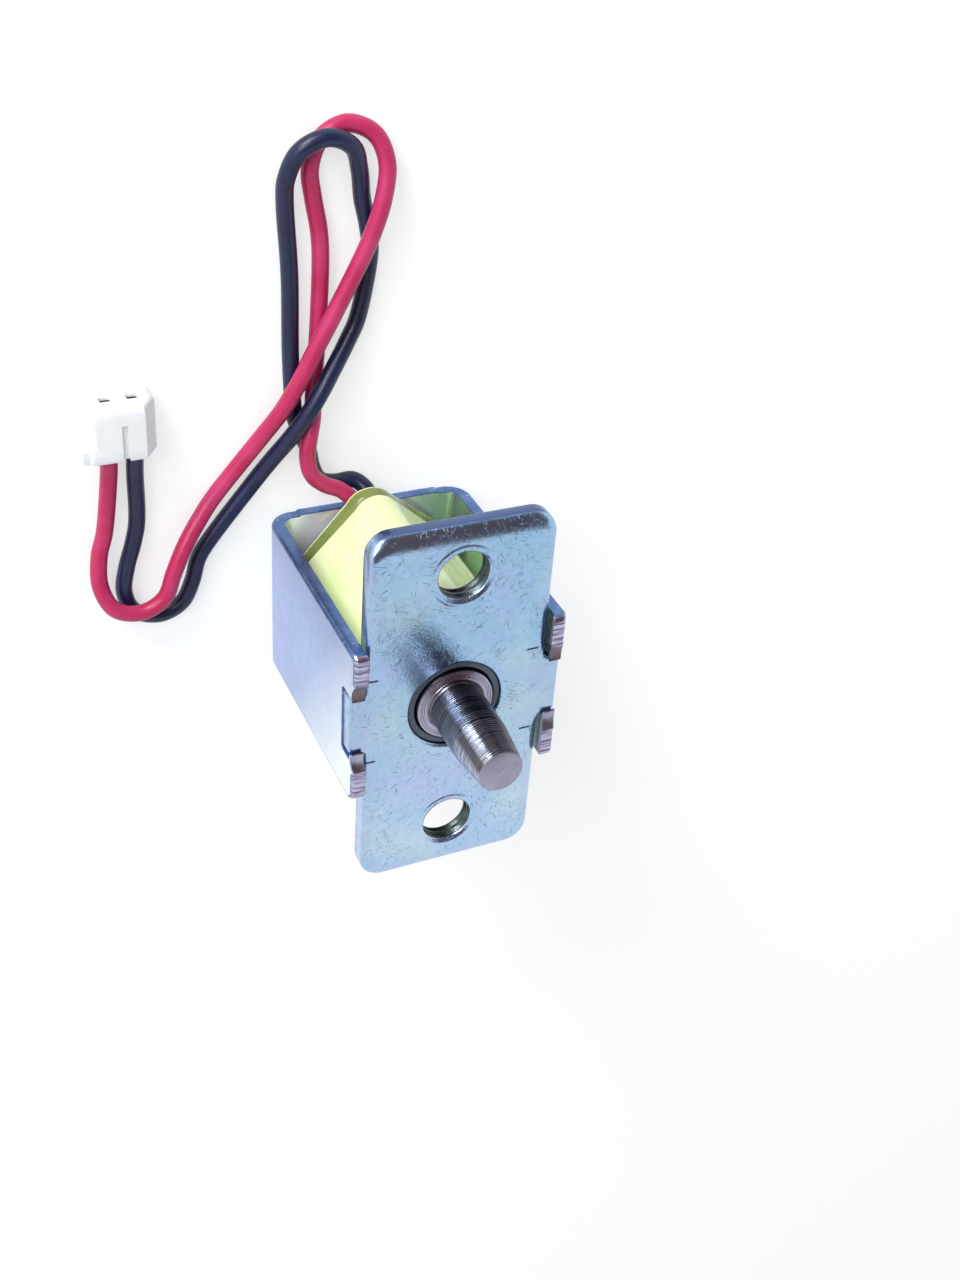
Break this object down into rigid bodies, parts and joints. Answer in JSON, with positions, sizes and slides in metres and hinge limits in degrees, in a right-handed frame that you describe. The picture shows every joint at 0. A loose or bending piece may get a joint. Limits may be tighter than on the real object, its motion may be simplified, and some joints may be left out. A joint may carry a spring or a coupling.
{
  "type": "solenoid",
  "caption": "Open-frame pull solenoid: bent U-frame with a staked front plate, tape-wrapped coil, loose stepped plunger, and leads that end in a connector.",
  "frame": {"origin": "centre of the rear wall's outer face, on the plunger axis", "axes": "+Z along the plunger axis, towards the rod's tip; X across the front plate, Y along it, with the leads on the +Y side"},
  "size_m": [0.0241, 0.0414, 0.0213],
  "materials": {
    "zinc_frame": "zinc plate, clear blue passivation, glossy",
    "zinc_plate": "zinc plate, clear blue passivation, scratched",
    "core_steel": "turned",
    "plunger_steel": "turned, nickel plated",
    "nylon": "moulded",
    "magnet_wire": "enamelled copper",
    "tape": "glossy polyester film",
    "red_insulation": "satin",
    "black_insulation": "satin",
    "solder": "satin",
    "ivory_nylon": "satin",
    "contact_brass": "tin plated"
  },
  "bodies": {
    "stator": {"u_frame": "zinc_frame", "front_plate": "zinc_plate", "fixed_core": "core_steel", "bobbin": "nylon", "coil_winding": "magnet_wire", "under_wrap": "tape", "outer_tape": "tape", "red_lead": "red_insulation", "black_lead": "black_insulation", "red_joint": "solder", "black_joint": "solder", "start_tail": "magnet_wire", "finish_tail": "magnet_wire", "connector_housing": "ivory_nylon", "red_terminal": "contact_brass", "black_terminal": "contact_brass"},
    "armature": {"plunger": "plunger_steel"}
  },
  "joints": [
    {"name": "plunger_slide", "type": "slide", "parent": "stator", "child": "armature", "axis": [0, 0, 1], "range_m": [0, 0.004]}
  ]
}
